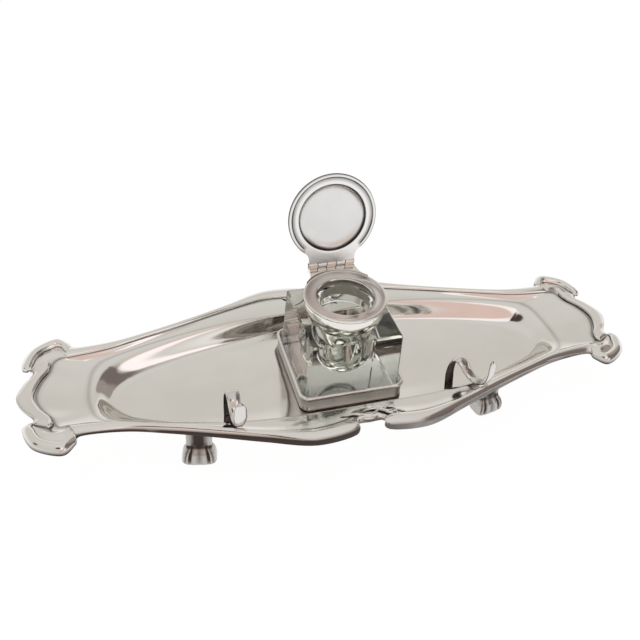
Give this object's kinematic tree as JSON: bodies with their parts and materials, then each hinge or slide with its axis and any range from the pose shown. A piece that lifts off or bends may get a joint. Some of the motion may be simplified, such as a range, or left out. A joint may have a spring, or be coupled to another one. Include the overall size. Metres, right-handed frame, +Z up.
{
  "type": "desk inkstand",
  "caption": "Boat-shaped silver desk inkstand with scrolled border, shell feet, pen rests, gallery and a square glass inkwell under a hinged lid.",
  "frame": {"origin": "middle of the object's box, on the table under the feet", "axes": "+X along the tray's length, +Y to the back where the lid's hinge is, +Z up"},
  "size_m": [0.312, 0.1112, 0.1146],
  "materials": {
    "silver": "polished silver sheet with a soft hand-worn sheen",
    "border_silver": "polished silver moulding",
    "foot_silver": "polished cast silver",
    "rest_silver": "polished silver strap",
    "gallery_silver": "polished silver band",
    "collar_silver": "polished silver",
    "lid_silver": "polished silver, softly brushed inside the dome",
    "hinge_silver": "silver wire",
    "clear_glass": "clear polished cut glass",
    "plaster": "set plaster"
  },
  "bodies": {
    "tray": {"tray_pan": "silver", "border_front_left": "border_silver", "border_front_right": "border_silver", "border_back_left": "border_silver", "border_back_right": "border_silver", "end_ribbon_left": "border_silver", "end_ribbon_right": "border_silver", "scroll_front_left": "border_silver", "scroll_front_right": "border_silver", "scroll_back_left": "border_silver", "scroll_back_right": "border_silver", "notch_lip_front": "border_silver", "notch_lip_back": "border_silver", "foot_front_left": "foot_silver", "foot_front_right": "foot_silver", "foot_back_left": "foot_silver", "foot_back_right": "foot_silver", "pen_rest_left": "rest_silver", "pen_rest_right": "rest_silver", "gallery": "gallery_silver"},
    "inkwell": {"glass_bottle": "clear_glass", "plaster_ring": "plaster", "collar": "collar_silver", "collar_hinge": "collar_silver", "hinge_pin": "hinge_silver"},
    "lid": {"lid_dome": "lid_silver", "lid_bezel": "lid_silver", "lid_hinge": "lid_silver"}
  },
  "joints": [
    {"name": "inkwell_lift", "type": "slide", "parent": "tray", "child": "inkwell", "axis": [0, 0, 1], "range_m": [0, 0.03]},
    {"name": "lid_hinge", "type": "hinge", "parent": "inkwell", "child": "lid", "pos_m": [0, 0.0242, 0.0689], "axis": [1, 0, 0], "range_deg": [0, 102]}
  ]
}
